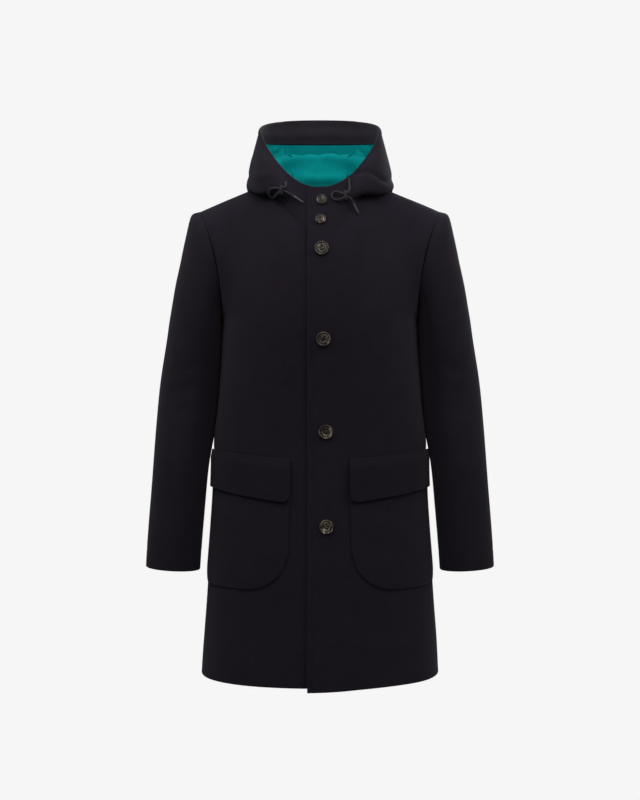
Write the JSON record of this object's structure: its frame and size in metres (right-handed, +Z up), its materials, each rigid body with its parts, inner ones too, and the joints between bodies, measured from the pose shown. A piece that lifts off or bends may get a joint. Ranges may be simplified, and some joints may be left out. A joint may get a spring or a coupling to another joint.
{
  "type": "parka",
  "caption": "Hooded thigh-length wool parka, hollow and standing as worn, with a button front, patch pockets under flaps, and hood drawcords.",
  "frame": {"origin": "where the wearer's shoulders hold the coat up: midway between the shoulder seams at the base of the neck", "axes": "+Z up, -Y towards the front of the coat, +X towards the wearer's left"},
  "size_m": [0.6344, 0.3604, 1.0622],
  "materials": {
    "navy_wool": "brushed wool melton, near-black navy, matt with a soft nap",
    "teal_lining": "plain-weave teal nylon, slightly shiny",
    "brown_horn": "mottled brown horn, polished",
    "charcoal_cord": "braided cord, matt charcoal",
    "dark_cord_tip": "cord end wrapped stiff, satin charcoal"
  },
  "bodies": {
    "root": {"front_left": "navy_wool", "front_right": "navy_wool", "back": "navy_wool", "sleeve_top_left": "navy_wool", "sleeve_top_right": "navy_wool", "sleeve_under_left": "navy_wool", "sleeve_under_right": "navy_wool", "hood_side_left": "navy_wool", "hood_side_right": "navy_wool", "hood_centre": "navy_wool", "hood_facing": "navy_wool", "hood_lining_left": "teal_lining", "hood_lining_right": "teal_lining", "hood_lining_centre": "teal_lining", "pocket_left": "navy_wool", "pocket_right": "navy_wool", "flap_left": "navy_wool", "flap_right": "navy_wool", "button_small_1": "brown_horn", "button_small_2": "brown_horn", "button_large_1": "brown_horn", "button_large_2": "brown_horn", "button_large_3": "brown_horn", "button_large_4": "brown_horn", "drawcord_left": "charcoal_cord", "drawcord_right": "charcoal_cord", "drawcord_knot_left": "charcoal_cord", "drawcord_knot_right": "charcoal_cord", "drawcord_tip_left": "dark_cord_tip", "drawcord_tip_right": "dark_cord_tip"}
  },
  "joints": []
}
